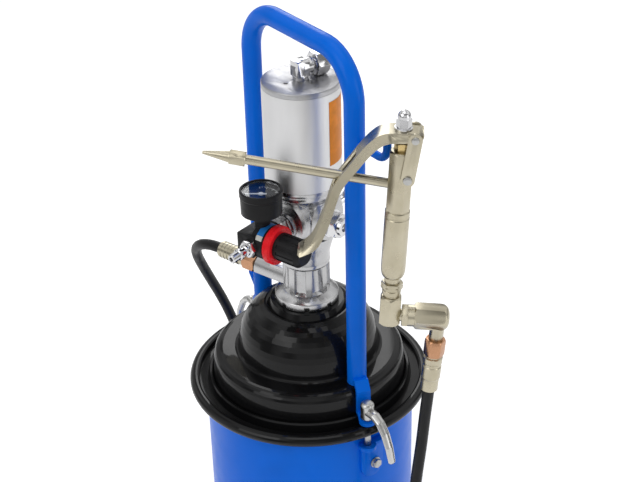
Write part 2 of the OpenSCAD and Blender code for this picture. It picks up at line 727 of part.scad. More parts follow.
module transfer_tube() {
    run = transfer_y - transfer_bend;
    color(steel) {
        towards_back(elbow_axis_z) translate([0, 0, elbow_end])
            pipe(transfer_r, transfer_r - 1.5, run - elbow_end);
        translate([0, run, elbow_axis_z - transfer_bend]) rotate([0, -90, 0])
            rotate_extrude(angle = 90) translate([transfer_bend, 0]) difference() {
                circle(transfer_r);
                circle(transfer_r - 1.5);
            }
        translate([0, transfer_y, valve_z + transfer_bend])
            pipe(transfer_r, transfer_r - 1.5, elbow_axis_z - valve_z - 2 * transfer_bend);
        translate([0, run, valve_z + transfer_bend]) rotate([0, -90, 0]) rotate([0, 0, 90])
            rotate_extrude(angle = 90) translate([transfer_bend, 0]) difference() {
                circle(transfer_r);
                circle(transfer_r - 1.5);
            }
        towards_back(valve_z) translate([0, 0, back_boss_end])
            pipe(transfer_r, transfer_r - 1.5, run - back_boss_end);
    }
}
piston_low = chamber_mid - piston_t / 2;
seal_r = 1.8;
module air_piston() {
    r = cyl_bore - 0.4;
    groove = chamber_mid;
    color(alu) rotate_extrude()
        polygon([[0, piston_low], [r, piston_low], [r, groove - seal_r], [r - 2 * seal_r, groove - seal_r],
                 [r - 2 * seal_r, groove + seal_r], [r, groove + seal_r], [r, piston_low + piston_t],
                 [0, piston_low + piston_t]]);
}
module piston_seal() {
    color(black) rotate_extrude() polygon([[cyl_bore - 0.4 - 2 * seal_r, chamber_mid - seal_r],
                                           [cyl_bore - run_gap, chamber_mid - seal_r],
                                           [cyl_bore - run_gap, chamber_mid + seal_r],
                                           [cyl_bore - 0.4 - 2 * seal_r, chamber_mid + seal_r]]);
}
module piston_rod() {
    color(steel) {
        translate([0, 0, plunger_z]) cylinder(r = suction_bore - run_gap, h = plunger_h);
        translate([0, 0, plunger_z + plunger_h - eps])
            cylinder(r = rod_r, h = piston_low - plunger_z - plunger_h + eps);
    }
}

// Regulator and gauge
module regulator_nipple() {
    color(steel) in_pump() towards_front(valve_z) {
        translate([0, 0, valve_step_end - 3]) pipe(spool_r - run_gap, 5, 3 + eps);
        translate([0, 0, valve_step_end]) nut(nipple_af, reg_face - valve_step_end, 5);
    }
}
module regulator_body() {
    half = 13;
    left = 19;
    edge = 2;
    round_l = ring_x + 4;
    color(black) in_regulator() difference() {
        union() {
            rotate([90, 0, 0]) linear_extrude(2 * reg_r, center = true) offset(delta = edge, chamfer = true)
                translate([edge - left, edge - half]) square([left + 4 - 2 * edge, 2 * half - 2 * edge]);
            towards_right() translate([0, 0, ring_x - round_l]) rotate_extrude()
                polygon([[0, 0], [reg_r - edge, 0], [reg_r, edge], [reg_r, round_l - edge],
                         [reg_r - edge, round_l], [0, round_l]]);
            towards_right() cylinder(r = bonnet_r, h = bonnet_end);
            cylinder(r = gauge_neck_r, h = reg_r);
        }
        rotate([90, 0, 0]) translate([0, 0, -reg_r - 1]) cylinder(r = 5, h = 2 * reg_r + 2);
        towards_right() translate([0, 0, 8]) cylinder(r = screw_r + gap, h = bonnet_end);
        cylinder(r = 3, h = reg_r + 2);
    }
}
module lock_ring() {
    color([0.85, 0.1, 0.14]) in_regulator() towards_right() translate([0, 0, ring_x]) difference() {
        rotate_extrude() polygon([[bonnet_r + run_gap, 0], [reg_r + 0.3, 0], [reg_r + 1.8, 1.5],
                                  [reg_r + 1.8, ring_l - 2], [reg_r - 0.2, ring_l],
                                  [bonnet_r + run_gap, ring_l]]);
    }
}
module adjusting_screw() {
    color(steel) in_regulator() towards_right() translate([0, 0, 10])
        cylinder(r = screw_r, h = knob_x + knob_l - 14);
}
module regulator_knob() {
    flutes = 12;
    wall = 2.5;
    end_t = 9;
    color(black) in_regulator() towards_right() translate([0, 0, knob_x]) difference() {
        rotate_extrude() polygon([[0, 0], [knob_r, 0], [knob_r, knob_l - 5], [knob_r - 4, knob_l],
                                  [0, knob_l]]);
        translate([0, 0, -1]) cylinder(r = knob_r - wall, h = knob_l - end_t + 1);
        cylinder(r = screw_r + run_gap, h = knob_l - 3);
        for (i = [0:flutes - 1]) rotate([0, 0, i * 360 / flutes])
            translate([knob_r - 0.9, -1.8, 4]) cube([3, 3.6, knob_l - 9]);
    }
}
module gauge_stem() {
    color(black) in_regulator() translate([0, 0, reg_r])
        rotate_extrude() polygon([[0, 0], [gauge_neck_r, 0], [gauge_neck_r, 3], [gauge_neck_r - 1, 4],
                                  [gauge_neck_r - 1, case_z - reg_z - reg_r], [0, case_z - reg_z - reg_r]]);
}
module gauge_case() {
    floor_t = gauge_h - 10;
    color(black) translate_gauge() difference() {
        rotate_extrude() polygon([[0, 0], [gauge_r - 6, 0], [gauge_r - 1, 2.5],
                                  [gauge_r - 0.6, gauge_h - 8],
                                  [gauge_r, gauge_h - 7], [gauge_r, gauge_h - 1], [gauge_r - 1, gauge_h],
                                  [0, gauge_h]]);
        translate([0, 0, floor_t]) cylinder(r = dial_r, h = gauge_h);
        translate([0, 0, floor_t - 6]) cylinder(r = 1.2 + run_gap, h = 8);
    }
}
module translate_gauge() {
    in_regulator() translate([0, 0, case_z - reg_z]) children();
}
module gauge_dial() {
    color([0.1, 0.1, 0.1]) translate_gauge() translate([0, 0, gauge_h - 10])
        pipe(dial_r - run_gap, 1.6, 1.2);
}
module gauge_pointer() {
    lift = gauge_h - 10;
    color([0.9, 0.9, 0.88]) translate_gauge() {
        translate([0, 0, lift - 5]) cylinder(r = 1.2, h = 8.5);
        translate([0, 0, lift + 2]) cylinder(r = 2.6, h = 1.6);
        translate([0, 0, lift + 2.4]) rotate([0, 0, 215]) linear_extrude(0.8)
            polygon([[-6, -1.2], [-6, 1.2], [0, 0.9], [dial_r - 4, 0.3], [dial_r - 4, -0.3], [0, -0.9]]);
    }
}
module gauge_lens() {
    color([0.9, 0.95, 1, 0.35]) translate_gauge() translate([0, 0, gauge_h - 4])
        cylinder(r = dial_r - run_gap, h = 2.2);
}
module inlet_plug() {
    color(steel) in_pump() towards_front(reg_z) translate([0, 0, plug_face]) {
        difference() {
            union() {
                nut(17, 8, 2.5);
                translate([0, 0, 8 - eps]) rotate_extrude()
                    polygon([[0, 0], [6.5, 0], [6.5, 3], [plug_r, 4], [plug_r, 9], [plug_r + 1.4, 10],
                             [plug_r + 1.4, 13],
                             [plug_r, 14], [plug_r, 23.5], [plug_r - 0.8, 24.5], [0, 24.5]]);
            }
            translate([0, 0, -1]) cylinder(r = 2.5, h = 40);
        }
    }
}

// Hose ends
module outlet_nut() {
    color(copper) in_pump() towards_left(outlet_z) translate([0, 0, outlet_nut_x])
        nut(22, outlet_nut_l, ferrule_stem_r + run_gap);
}
module outlet_ferrule() {
    ribs = 6;
    color(zinc) in_pump() towards_left(outlet_z) difference() {
        rotate_extrude() polygon(concat(
            [[outlet_bore - 1, outlet_end], [ferrule_stem_r, outlet_end],
             [ferrule_stem_r, outlet_nut_x + outlet_nut_l],
             [9.5, outlet_nut_x + outlet_nut_l], [9.5, ferrule_x - 1], [ferrule_r - 1, ferrule_x]],
            [for (i = [0:ribs - 1]) each [[ferrule_r, ferrule_x + 1 + i * 5],
                                          [ferrule_r, ferrule_x + 4.2 + i * 5],
                                          [ferrule_r - 0.5, ferrule_x + 4.6 + i * 5],
                                          [ferrule_r - 0.5, ferrule_x + 5.6 + i * 5]]],
            [[ferrule_r - 1, ferrule_x + ferrule_l], [outlet_bore - 1, ferrule_x + ferrule_l]]));
    }
}
function turned(p, a) = [p[0] * cos(a) - p[1] * sin(a), p[0] * sin(a) + p[1] * cos(a), p[2]];
function leaned(p, a) = [p[0] * cos(a) + p[2] * sin(a), p[1], p[2] * cos(a) - p[0] * sin(a)];
function lifted(route) =
    [for (p = route) p + [0, 0, (rim_z - 300) * min(1, max(0, (p[2] - 60) / 240))]];
hose_start = turned([-ferrule_x - ferrule_l, 0, outlet_z], pump_yaw);
hose_end = gun_place + turned(leaned([elbow_x, 0, elbow_z]
           + leaned([0, 0, -stub_l - gun_nut_l - gun_ferrule_l], elbow_lean), gun_tilt), gun_yaw);
module hose_left() {
    color(black) hose(concat([hose_start], lifted(hose_left_route)), hose_d / 2);
}
module hose_coil() {
    r = 5;
    color(black) translate([coil_place[0], coil_place[1], 0]) rotate_extrude()
        polygon(concat(arc([coil_out - r, r], r, -90, 0, 4), arc([coil_out - r, coil_h - r], r, 0, 90, 4),
                       arc([coil_in + r, coil_h - r], r, 90, 180, 4),
                       arc([coil_in + r, r], r, 180, 270, 4)));
}
module hose_right() {
    color(black) hose(concat(lifted(hose_right_route), [hose_end]), hose_d / 2);
}
module gun_ferrule() {
    color(zinc) in_gun_elbow() translate([0, 0, -stub_l - gun_nut_l - gun_ferrule_l]) rotate_extrude()
        polygon([[4, 0], [ferrule_r - 1.8, 0], [ferrule_r - 0.8, 1], [ferrule_r - 0.8, 15], [ferrule_r, 17],
                 [ferrule_r, gun_ferrule_l - 14], [ferrule_r - 0.6, gun_ferrule_l - 13],
                 [ferrule_r - 0.6, gun_ferrule_l - 10], [ferrule_r, gun_ferrule_l - 9],
                 [ferrule_r, gun_ferrule_l - 3], [8.5, gun_ferrule_l - 2], [8.5, gun_ferrule_l],
                 [ferrule_stem_r, gun_ferrule_l], [ferrule_stem_r, gun_ferrule_l + gun_nut_l],
                 [4, gun_ferrule_l + gun_nut_l]]);
}
module gun_hose_nut() {
    color(copper) in_gun_elbow() translate([0, 0, -stub_l - gun_nut_l])
        nut(19.5, gun_nut_l, ferrule_stem_r + run_gap);
}

// Grease gun
module elbow_body() {
    start = elbow_nut_x + elbow_nut_l;
    stem_in = swivel_af / 2 - 6;
    corner_r = hex_r(2 * elbow_r);
    color(zinc) difference() {
        union() {
            in_gun() translate([start, 0, elbow_z]) rotate([0, 90, 0]) {
                cylinder(r = elbow_r - 0.8, h = collar_l);
                translate([0, 0, collar_l - eps]) intersection() {
                    rotate([0, 0, 30]) hex(2 * elbow_r, barrel_l);
                    rotate_extrude() polygon(concat([[0, 0], [elbow_r, 0], [corner_r, 2]],
                                                    bend([corner_r, barrel_l - 10],
                                                         [corner_r, barrel_l - 1],
                                                         [5, barrel_l], 6), [[0, barrel_l]]));
                }
            }
            in_gun() translate([stem_in, 0, elbow_z]) rotate([0, 90, 0])
                cylinder(r = elbow_stem_r, h = start + 1 - stem_in);
            in_gun_elbow() translate([0, 0, -stub_l]) cylinder(r = stub_r, h = stub_l);
        }
        in_gun_elbow() translate([0, 0, -stub_l - 1]) cylinder(r = 4, h = stub_l + 1);
        in_gun() translate([0, 0, elbow_z]) rotate([0, 90, 0]) cylinder(r = 3.5, h = elbow_x);
    }
}
module elbow_nut() {
    color(zinc) in_gun() translate([elbow_nut_x, 0, elbow_z]) rotate([0, 90, 0])
        nut(22.5, elbow_nut_l, elbow_stem_r + run_gap);
}
module swivel_body() {
    h = swivel_nut_z - swivel_ring_h - swivel_z;
    flat_r = swivel_af / 2;
    ring_r = flat_r - 1;
    color(zinc) in_gun() difference() {
        union() {
            translate([0, 0, swivel_z]) rotate([0, 0, 30]) intersection() {
                hex(swivel_af, h);
                rotate_extrude() polygon([[0, 0], [flat_r - 1, 0], [flat_r + 2.2, 3], [flat_r + 2.2, h - 3],
                                          [flat_r - 1, h], [0, h]]);
            }
            translate([0, 0, swivel_z + h - eps]) rotate_extrude()
                polygon([[0, 0], [ring_r - 1.5, 0], [ring_r - 1.5, 2], [ring_r, 3],
                         [ring_r, swivel_ring_h - 1],
                         [ring_r - 1, swivel_ring_h], [0, swivel_ring_h]]);
            translate([0, 0, swivel_nut_z - 1]) cylinder(r = spigot_r, h = swivel_nut_h + gap + 5);
        }
        translate([0, 0, elbow_z]) cylinder(r = 3, h = 80);
        translate([0, 0, elbow_z]) rotate([0, 90, 0]) cylinder(r = elbow_stem_r + run_gap, h = 40);
    }
}
module swivel_nut() {
    color(zinc) in_gun() translate([0, 0, swivel_nut_z + gap]) difference() {
        nut(20, swivel_nut_h, spigot_r + run_gap);
        rotate_extrude() translate([10.4, swivel_nut_h / 2]) square([4, 1.4]);
    }
}
module gun_handle() {
    neck_end = swivel_nut_z + gap + swivel_nut_h;
    groove = body_z - 9;
    color(zinc) in_gun() difference() {
        rotate_extrude() polygon(concat(
            [[0, neck_end], [neck_in, neck_end]],
            bend([neck_in, neck_z - 1], [handle_r, neck_z], [handle_r, neck_z + 11], 6),
            [[handle_r, groove], [handle_r - 0.5, groove + 0.6], [handle_r - 0.5, groove + 1.6],
             [handle_r, groove + 2.2], [handle_r, body_z - 1.5], [handle_r - 1.5, body_z], [0, body_z]]));
        translate([0, 0, neck_end - 1]) cylinder(r = spigot_r + run_gap, h = 6);
        translate([0, 0, neck_end - 1]) cylinder(r = 3, h = body_z - neck_end + 2);
    }
}
module gun_body() {
    flat_r = gun_af / 2;
    color(zinc) in_gun() difference() {
        translate([0, 0, body_z]) intersection() {
            rotate([0, 0, 22.5]) cylinder(r = flat_r / cos(22.5), h = gun_body_h, $fn = 8);
            rotate_extrude() polygon([[0, 0], [flat_r + 1, 0], [flat_r + 1, gun_body_h - 2],
                                      [flat_r - 1, gun_body_h], [0, gun_body_h]]);
        }
        translate([0, 0, body_z - 1]) cylinder(r = 3, h = 20);
        translate([0, 0, stem_low - 6]) cylinder(r = stem_r + gap, h = gun_body_h);
        in_port() cylinder(r = nozzle_d / 2 + run_gap, h = 30);
        link_bolts(run_gap, flat_r - bolt_in - gap, flat_r + 1);
    }
}
// Shanks of the two bolts that hold the links' feet to the body's sides
module link_bolts(room, from, to) {
    for (side = [0, 1]) mirror([0, side, 0]) translate([link_foot[0], 0, link_foot[1]])
        rotate([90, 0, 0]) translate([0, 0, from]) cylinder(r = pin_r + room, h = to - from);
}
module in_port() {
    translate([0, 0, nozzle_z]) rotate([0, nozzle_rise - 90, 0]) translate([0, 0, 7]) children();
}
module valve_gland() {
    color([0.72, 0.6, 0.35]) in_gun() translate([0, 0, body_top]) nut(14, gland_h, stem_r + run_gap);
}
module valve_stem() {
    ball_z = web_top - lever_t - gap - stem_r;
    color(steel) in_gun() {
        translate([0, 0, stem_low]) cylinder(r = stem_r, h = ball_z - stem_low);
        translate([0, 0, ball_z]) sphere(stem_r, $fn = 32);
    }
}
// Cap nut on the lever's web, with the screw that presses the stem
module stem_cap_nut() {
    hex_z = 2.4;
    dome_low = 11.2;
    dome_r = 6.7;
    color(steel) in_gun() translate([0, 0, web_top + 0.1]) {
        cylinder(r = 9, h = hex_z);
        translate([0, 0, hex_z - eps]) hex(13.5, dome_low - hex_z);
        translate([0, 0, dome_low - 2 * eps]) rotate_extrude()
            polygon(concat([[0, 0], [dome_r, 0]], arc([0, 2.2], dome_r, 0, 90, 8)));
        translate([0, 0, -lever_t]) cylinder(r = screw_hole_r - run_gap, h = lever_t + 1);
    }
}
module lever_side(top, extra, wide) {
    rotate([90, 0, 0]) linear_extrude(wide, center = true)
        polygon(flange(smooth(lever_line, 3), top, extra));
}
module gun_lever() {
    run = lever_slot[1] - lever_slot[0];
    turn = atan2(run[1], run[0]);
    inner = lever_w / 2 - lever_t;
    color(zinc) in_gun() difference() {
        lever_side(0, 0, lever_w);
        lever_side(lever_t, 3, 2 * inner);
        translate([lever_slot[0][0], 0, lever_slot[0][1]]) rotate([0, -turn, 0])
            translate([0, -slot_w / 2, -12]) cube([norm(run), slot_w, 24]);
        translate([0, 0, web_top - 6]) cylinder(r = screw_hole_r, h = 12);
        translate([pivot[0], 0, pivot[1]]) rotate([90, 0, 0])
            cylinder(r = pin_r + run_gap, h = 40, center = true);
    }
}
module link_plate() {
    r = 7;
    hull() {
        translate([pivot[0], 0, pivot[1]]) rotate([90, 0, 0]) cylinder(r = r, h = link_t, $fn = 32);
        translate([link_foot[0], 0, link_foot[1]]) rotate([90, 0, 0]) cylinder(r = r, h = link_t, $fn = 32);
    }
}
module lever_links() {
    color(zinc) in_gun() for (y = [-link_in, link_in + link_t]) difference() {
        translate([0, y, 0]) link_plate();
        for (p = [pivot, link_foot]) translate([p[0], y + 5, p[1]]) rotate([90, 0, 0])
            cylinder(r = pin_r + run_gap, h = 20);
    }
}
module pin_heads(p, r, half) {
    for (side = [0, 1]) mirror([0, side, 0]) translate([p[0], -half, p[1]]) rotate([90, 0, 0])
        translate([0, 0, -eps]) rotate_extrude() polygon([[0, 0], [r, 0], [r - 0.6, 1.4], [r - 2.7, 2],
                                                          [0, 2]]);
}
module lever_pins() {
    half = link_in + link_t + 0.1;
    color(steel) in_gun() {
        translate([pivot[0], 0, pivot[1]]) rotate([90, 0, 0])
            cylinder(r = pin_r, h = 2 * half, center = true);
        pin_heads(pivot, 4.2, half);
        link_bolts(0, gun_af / 2 - bolt_in, half);
        pin_heads(link_foot, 4.8, half);
    }
}
module nozzle_tube() {
    color(zinc) in_nozzle() translate([0, 0, 7.2]) pipe(nozzle_d / 2, nozzle_d / 2 - 2.5, nozzle_l - 7.2);
}
module nozzle_coupler() {
    cone = 27;
    color(zinc) in_nozzle() translate([0, 0, nozzle_l]) difference() {
        union() {
            nut(14.4, 16, 2.5);
            translate([0, 0, 16 - eps]) cylinder(r1 = 6, r2 = 1.6, h = cone);
        }
        translate([0, 0, -1]) cylinder(r = 1, h = 60);
    }
}

drum();
clamp_brackets();
bracket_bolts();
clamp_studs();
lid();
lid_gasket();
bail();
clamp_lever_right();
clamp_lever_left();
follower_plate();
follower_seal();
suction_tube();
foot_valve();
ring_nut();
pump_column();
valve_block();
valve_spool();
side_plug();
cylinder_base();
air_cylinder();
cylinder_cap();
cap_elbow();
tube_nuts();
transfer_tube();
air_piston();
piston_seal();
piston_rod();
regulator_nipple();
regulator_body();
lock_ring();
adjusting_screw();
regulator_knob();
gauge_stem();
gauge_case();
gauge_dial();
gauge_pointer();
gauge_lens();
inlet_plug();
outlet_nut();
outlet_ferrule();
hose_left();
hose_coil();
hose_right();
gun_ferrule();
gun_hose_nut();
elbow_body();
elbow_nut();
swivel_body();
swivel_nut();
gun_handle();
gun_body();
valve_gland();
valve_stem();
stem_cap_nut();
gun_lever();
lever_links();
lever_pins();
nozzle_tube();
nozzle_coupler();
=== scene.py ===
import json
import math

import bmesh
import bpy
from bpy.props import FloatProperty, FloatVectorProperty, IntProperty, PointerProperty
from mathutils import Matrix, Vector

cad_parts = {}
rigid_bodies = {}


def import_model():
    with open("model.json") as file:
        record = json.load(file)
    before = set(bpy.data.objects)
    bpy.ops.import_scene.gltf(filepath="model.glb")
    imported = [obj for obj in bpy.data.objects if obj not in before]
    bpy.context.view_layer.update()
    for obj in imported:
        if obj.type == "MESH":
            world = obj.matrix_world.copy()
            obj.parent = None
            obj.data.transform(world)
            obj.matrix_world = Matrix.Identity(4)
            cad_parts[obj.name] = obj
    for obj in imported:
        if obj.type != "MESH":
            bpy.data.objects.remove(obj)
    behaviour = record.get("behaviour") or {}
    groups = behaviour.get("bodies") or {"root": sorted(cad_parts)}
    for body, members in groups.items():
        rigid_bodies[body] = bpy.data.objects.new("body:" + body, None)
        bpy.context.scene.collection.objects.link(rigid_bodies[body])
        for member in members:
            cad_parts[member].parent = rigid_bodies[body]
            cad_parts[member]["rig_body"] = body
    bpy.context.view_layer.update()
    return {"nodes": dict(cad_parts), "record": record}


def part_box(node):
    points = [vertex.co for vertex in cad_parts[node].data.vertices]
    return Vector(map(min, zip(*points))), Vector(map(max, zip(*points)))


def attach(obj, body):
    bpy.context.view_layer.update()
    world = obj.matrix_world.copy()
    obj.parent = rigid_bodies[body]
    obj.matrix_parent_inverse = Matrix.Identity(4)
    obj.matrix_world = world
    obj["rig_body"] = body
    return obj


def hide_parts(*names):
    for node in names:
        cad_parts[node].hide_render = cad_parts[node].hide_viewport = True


bl_info = {
    "name": "Drum Grease Pump",
    "version": (1, 0, 0),
    "blender": (4, 5, 0),
    "location": "View3D > Sidebar > Grease Pump",
    "description": "Dresses the drum grease pump: hose, finishes, gauge face, colour fields and studio",
    "category": "Object",
}

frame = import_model()
NODES = frame["nodes"]
PUMP_YAW = math.radians(17)


def route(points):
    """Route points of the part's source, from millimetres to metres."""
    return [Vector(p) / 1000 for p in points]


HOSE_START = Vector((-123.363, -37.716, 421)) / 1000
HOSE_END = Vector((192.470, 25.336, 373.392)) / 1000
HOSE_LEFT = route([
    (-131, -40.05, 421), (-140.5, -42.6, 419.9), (-150.5, -44.4, 416.9), (-160.5, -45, 412.2),
    (-170, -44.3, 405.7), (-179, -42, 397.3), (-187.2, -38.2, 387), (-194.5, -32.6, 374.5),
    (-201.2, -25, 359), (-206.8, -15.5, 340), (-210.6, -5, 318), (-212.3, 5.5, 295),
    (-211.5, 15, 270), (-208, 22, 244), (-203, 26, 216), (-198, 28, 185), (-193, 29, 155),
    (-189, 30, 124), (-185, 31, 93), (-181, 32.5, 68), (-176.5, 36, 46.5), (-170, 43, 29),
    (-162, 53.5, 16.5), (-153.5, 65.5, 9.2), (-145, 78, 6.7), (-137, 91, 6.7)])
HOSE_RIGHT = route([
    (-114, 124, 45), (-101, 142, 40), (-86, 159, 29), (-67, 171, 17), (-45, 177, 9),
    (-21, 178, 6.7), (6, 175, 6.7), (36, 168, 6.7), (66, 156, 6.7), (96, 138, 6.7),
    (123, 115, 6.7), (146, 86, 6.7), (165, 54, 9), (177, 27, 24), (184, 11, 52),
    (187, 5, 88), (187, 4.5, 135), (187, 8.5, 190), (187.2, 14.5, 250), (188.4, 19.6, 295),
    (190.3, 22.55, 336)])
COIL_MIDDLE = Vector((-193, 146, 0)) / 1000
# Turn angle in degrees, place across the coil (0 outer, 1 inner) and layer, where the hose changes place
COIL_STOPS = [
    (0, 0, 0), (250, 0, 0), (360, 1, 0), (550, 1, 0), (610, 1, 1), (800, 1, 1),
    (910, 0, 1), (1100, 0, 1), (1160, 0, 2), (1350, 0, 2), (1460, 1, 2), (1650, 1, 2),
    (1710, 1, 3), (1900, 1, 3), (2010, 0, 3), (2160, 0, 3)]
COIL_START = math.radians(-33.6)
COIL_STEP = 12
COIL_LAYERS = 4
ROUTE_STEPS = 5

CAMERA_PLACE = Vector((1.14453, -0.76100, 1.27754))
CAMERA_ANGLES = (56.38, 30.27, 0.73, -1.38)
CAMERA_LENS = 79.16
CAMERA_SENSOR = 36
LIGHT_AIM = Vector((0, 0, 0.45))
FLOOR_HALF = 12
FLOOR_DROP = 0.0005
FLOOR_GLOW = 0.55

SAME_POINT = 2e-6
FLAT_ANGLE = math.radians(0.6)
FIELD_LIFT = 0.0002
FIELD_STEPS = 24
DIAL_START = math.radians(-118)
DIAL_SWEEP = math.radians(270)
DIAL_EDGE = 0.002
PRINT_THICK = 0.0002


# Settings

class GreasePumpFinishes(bpy.types.PropertyGroup):
    """Colours that a user may want to change."""
    drum_blue: FloatVectorProperty(
        name="Drum blue", description="Enamel of the drum, bail and brackets",
        subtype="COLOR", size=3, min=0, max=1, default=(0.0, 0.165, 0.86))
    lid_black: FloatVectorProperty(
        name="Lid black", description="Enamel of the lid",
        subtype="COLOR", size=3, min=0, max=1, default=(0.005, 0.005, 0.0055))
    ring_red: FloatVectorProperty(
        name="Ring red", description="Lock ring of the regulator",
        subtype="COLOR", size=3, min=0, max=1, default=(0.83, 0.014, 0.022))
    field_orange: FloatVectorProperty(
        name="Field orange", description="Plain colour field on the air cylinder",
        subtype="COLOR", size=3, min=0, max=1, default=(0.83, 0.26, 0.022))
    field_blue: FloatVectorProperty(
        name="Field blue", description="Plain colour field on the regulator",
        subtype="COLOR", size=3, min=0, max=1, default=(0.02, 0.19, 0.56))


class GreasePumpHose(bpy.types.PropertyGroup):
    """Sizes of the grease hose."""
    diameter: FloatProperty(
        name="Diameter", description="Outer diameter of the hose",
        unit="LENGTH", default=0.013, min=0.008, max=0.02)
    coil_outer: FloatProperty(
        name="Outer turns", description="Middle radius of the coil's outer turns",
        unit="LENGTH", default=0.078)
    coil_inner: FloatProperty(
        name="Inner turns", description="Middle radius of the coil's inner turns",
        unit="LENGTH", default=0.065)
    ties: IntProperty(name="Ties", description="Bands that hold the coil together", default=2, min=1, max=4)


class GreasePumpStage(bpy.types.PropertyGroup):
    """Studio round the pump."""
    floor_white: FloatVectorProperty(
        name="Floor", description="Colour of the studio floor",
        subtype="COLOR", size=3, min=0, max=1, default=(0.9, 0.9, 0.9))
    key_power: FloatProperty(
        name="Key light", description="Power of the key light", unit="POWER", default=12.0, min=0)
    world_level: FloatProperty(
        name="Room level", description="Strength of the even room light", default=0.42, min=0)
    gloss_level: FloatProperty(
        name="Mirrored room", description="Strength of the room as bright surfaces mirror it",
        default=1.1, min=0)


# Helpers

def link(obj):
    bpy.context.scene.collection.objects.link(obj)
    return obj


def smooth_line(points, steps=6):
    """A dense line through the points, with no kink at any of them."""
    line = []
    last = len(points) - 1
    for i in range(last):
        a, b = points[max(i - 1, 0)], points[i]
        c, d = points[i + 1], points[min(i + 2, last)]
        for k in range(steps):
            t = k / steps
            line.append(0.5 * (2 * b + (c - a) * t + (2 * a - 5 * b + 4 * c - d) * t ** 2
                               + (3 * b - a - 3 * c + d) * t ** 3))
    line.append(points[last])
    return line


def mesh_piece(name, bm, material, body):
    """Turns a bmesh into a piece that rides on a body."""
    mesh = bpy.data.meshes.new(name)
    bm.normal_update()
    bm.to_mesh(mesh)
    bm.free()
    obj = link(bpy.data.objects.new(name, mesh))
    mesh.materials.append(material)
    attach(obj, body)
    return obj


def bake_modifiers(obj):
    """Puts the evaluated mesh in the object's place, with its modifiers removed."""
    bpy.context.view_layer.update()
    graph = bpy.context.evaluated_depsgraph_get()
    finished = bpy.data.meshes.new_from_object(obj.evaluated_get(graph))
    obj.modifiers.clear()
    obj.data = finished
    return finished


def feed(tree, socket, value):
    """Links a socket to another node's output, or sets its constant."""
    if isinstance(value, bpy.types.NodeSocket):
        tree.links.new(value, socket)
    else:
        socket.default_value = value


def add_node(tree, kind, traits=None, **sockets):
    """A new node with its own settings, and its sockets linked or set."""
    node = tree.nodes.new(kind)
    for name, value in (traits or {}).items():
        setattr(node, name, value)
    for name, value in sockets.items():
        feed(tree, node.inputs[name.replace("_", " ")], value)
    return node


def calc(tree, operation, *terms):
    """The output of a math node on these terms."""
    node = add_node(tree, "ShaderNodeMath", {"operation": operation})
    for socket, term in zip(node.inputs, terms):
        feed(tree, socket, term)
    return node.outputs[0]


def map_range(tree, value, start, end, low, high):
    return add_node(tree, "ShaderNodeMapRange", Value=value, From_Min=start, From_Max=end,
                    To_Min=low, To_Max=high).outputs["Result"]


def mix(tree, factor, a, b, kind="FLOAT"):
    return add_node(tree, "ShaderNodeMix", {"data_type": kind}, Factor=factor, A=a, B=b).outputs["Result"]


class Finish:
    """Builds one node material on Object coordinates."""

    def __init__(self, name, base, metallic=0.0, roughness=0.4):
        self.material = bpy.data.materials.new(name)
        self.material.use_nodes = True
        self.tree = self.material.node_tree
        self.shader = self.tree.nodes["Principled BSDF"]
        self.base = tuple(base)[:3]
        self.shader.inputs["Base Color"].default_value = (*self.base, 1)
        self.shader.inputs["Metallic"].default_value = metallic
        self.shader.inputs["Roughness"].default_value = roughness
        self.place = self.tree.nodes.new("ShaderNodeTexCoord").outputs["Object"]

    def set(self, **values):
        """Sets constants on the shader, by the names of its sockets."""
        for name, value in values.items():
            socket = name.replace("_", " ").title().replace("Ior", "IOR")
            self.shader.inputs[socket].default_value = value
        return self

    def noise(self, scale, detail=3.0, stretch=(1, 1, 1)):
        mapped = add_node(self.tree, "ShaderNodeMapping", Vector=self.place, Scale=stretch)
        return add_node(self.tree, "ShaderNodeTexNoise", Vector=mapped.outputs["Vector"],
                        Scale=scale, Detail=detail, Roughness=0.55).outputs["Fac"]

    def rings(self, scale, distortion=0.0):
        return add_node(self.tree, "ShaderNodeTexWave", {"wave_type": "RINGS", "rings_direction": "Z"},
                        Vector=self.place, Scale=scale, Distortion=distortion).outputs["Fac"]

    def vary(self, fac, other, start=0.35, end=0.7):
        """Lets the base colour drift towards another colour."""
        share = map_range(self.tree, fac, start, end, 0, 1)
        drift = mix(self.tree, share, (*self.base, 1), (*other[:3], 1), "RGBA")
        feed(self.tree, self.shader.inputs["Base Color"], drift)
        return self

    def rough(self, fac, low, high):
        """Lets the roughness drift from low to high."""
        feed(self.tree, self.shader.inputs["Roughness"], map_range(self.tree, fac, 0.3, 0.7, low, high))
        return self

    def bump(self, fac, strength, distance):
        """Adds a fine relief to the surface."""
        relief = add_node(self.tree, "ShaderNodeBump", Height=fac, Strength=strength, Distance=distance)
        feed(self.tree, self.shader.inputs["Normal"], relief.outputs["Normal"])
        return self


def enamel(name, base, peel=0.10):
    """Sprayed gloss enamel with a faint orange peel."""
    paint = Finish(name, base, 0.0, 0.34)
    paint.set(coat_weight=0.10, coat_roughness=0.10, specular_ior_level=0.07)
    paint.vary(paint.noise(14, 2), [c * 0.88 for c in base], 0.45, 0.75)
    paint.rough(paint.noise(55, 4), 0.28, 0.40)
    return paint.bump(paint.noise(420, 2), peel, 0.0004)


def plated(name, base, stain, roughness=(0.20, 0.34)):
    """Plated steel with soft stains and fine turning grain."""
    metal = Finish(name, base, 1.0, 0.28)
    metal.vary(metal.noise(30, 2), stain, 0.42, 0.75)
    metal.rough(metal.noise(90, 2), *roughness)
    return metal.bump(metal.noise(1500, 2), 0.02, 0.0002)


